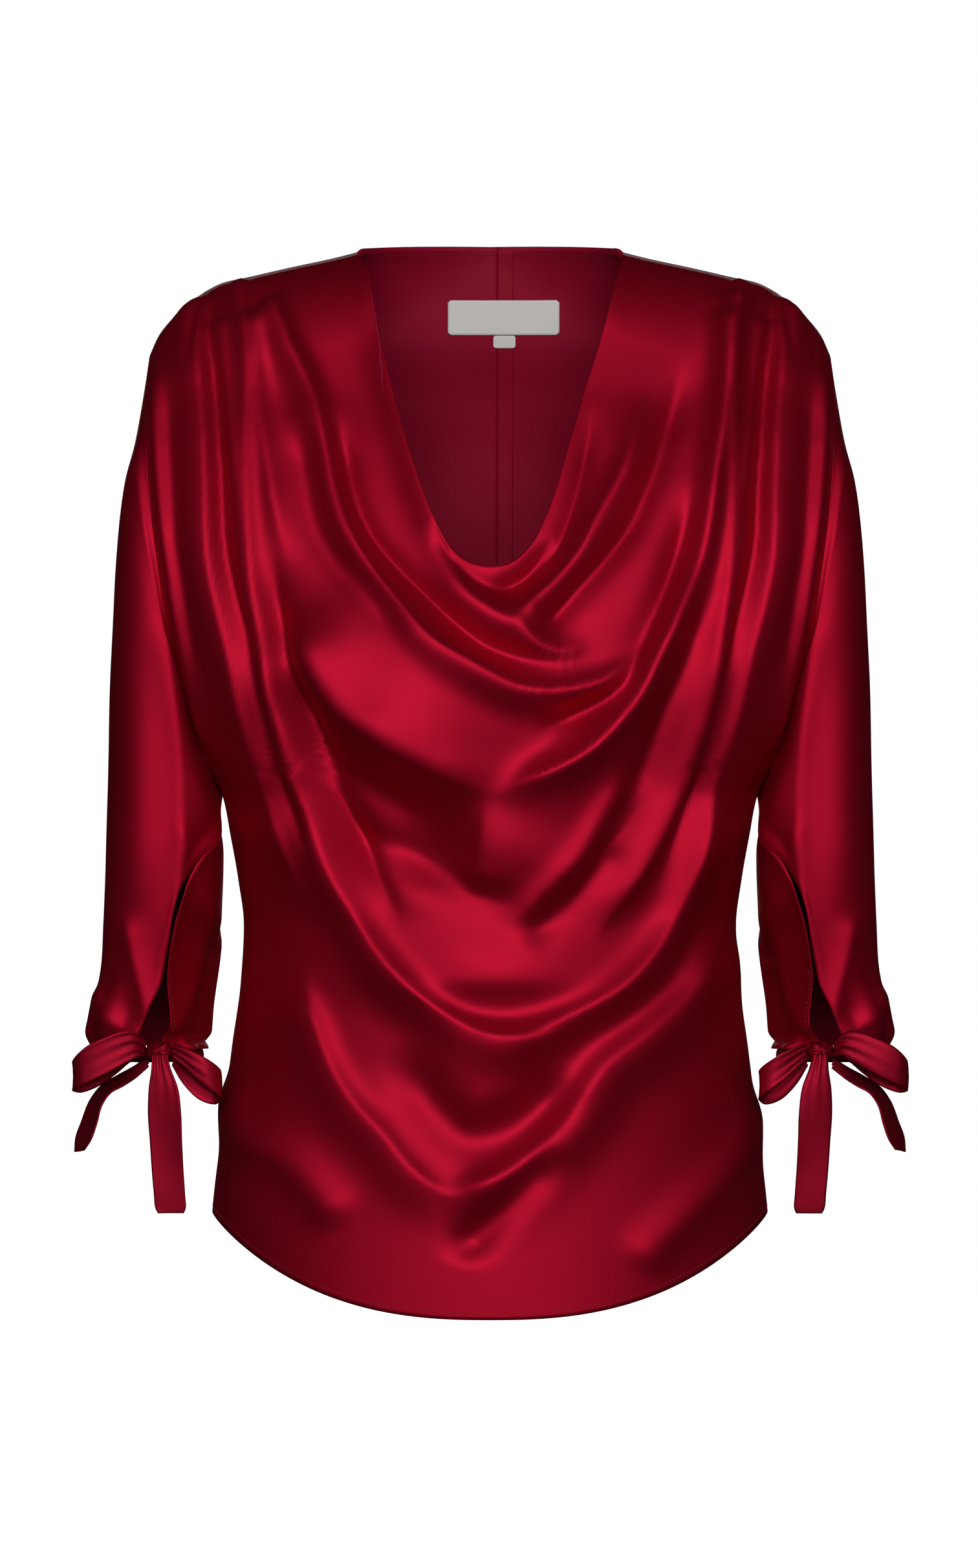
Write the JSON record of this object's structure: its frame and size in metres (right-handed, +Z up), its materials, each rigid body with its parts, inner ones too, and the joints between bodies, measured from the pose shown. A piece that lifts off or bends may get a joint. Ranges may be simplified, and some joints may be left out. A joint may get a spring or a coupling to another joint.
{
  "type": "blouse",
  "caption": "Satin blouse with a draped cowl neck, pleated shoulders, deep armholes, slit sleeves tied in bows at the wrists and a curved hem, filled out as worn",
  "frame": {"origin": "midway between the two high points of the shoulders, where the wearer's neck starts", "axes": "+X to the wearer's left, +Y to the wearer's back, +Z up"},
  "size_m": [0.5312, 0.2651, 0.6851],
  "materials": {
    "satin": "deep red silk satin, glossy outside and duller inside",
    "ribbon": "deep red satin ribbon",
    "label": "off-white woven label, bare"
  },
  "bodies": {
    "root": {"front": "satin", "back_right": "satin", "back_left": "satin", "sleeve_right": "satin", "sleeve_left": "satin", "label": "label", "size_tab": "label", "cuff_band_right": "ribbon", "bow_knot_right": "ribbon", "bow_loop_outer_right": "ribbon", "bow_loop_inner_right": "ribbon", "bow_tail_front_right": "ribbon", "bow_tail_outer_right": "ribbon", "cuff_band_left": "ribbon", "bow_knot_left": "ribbon", "bow_loop_outer_left": "ribbon", "bow_loop_inner_left": "ribbon", "bow_tail_front_left": "ribbon", "bow_tail_outer_left": "ribbon"}
  },
  "joints": []
}
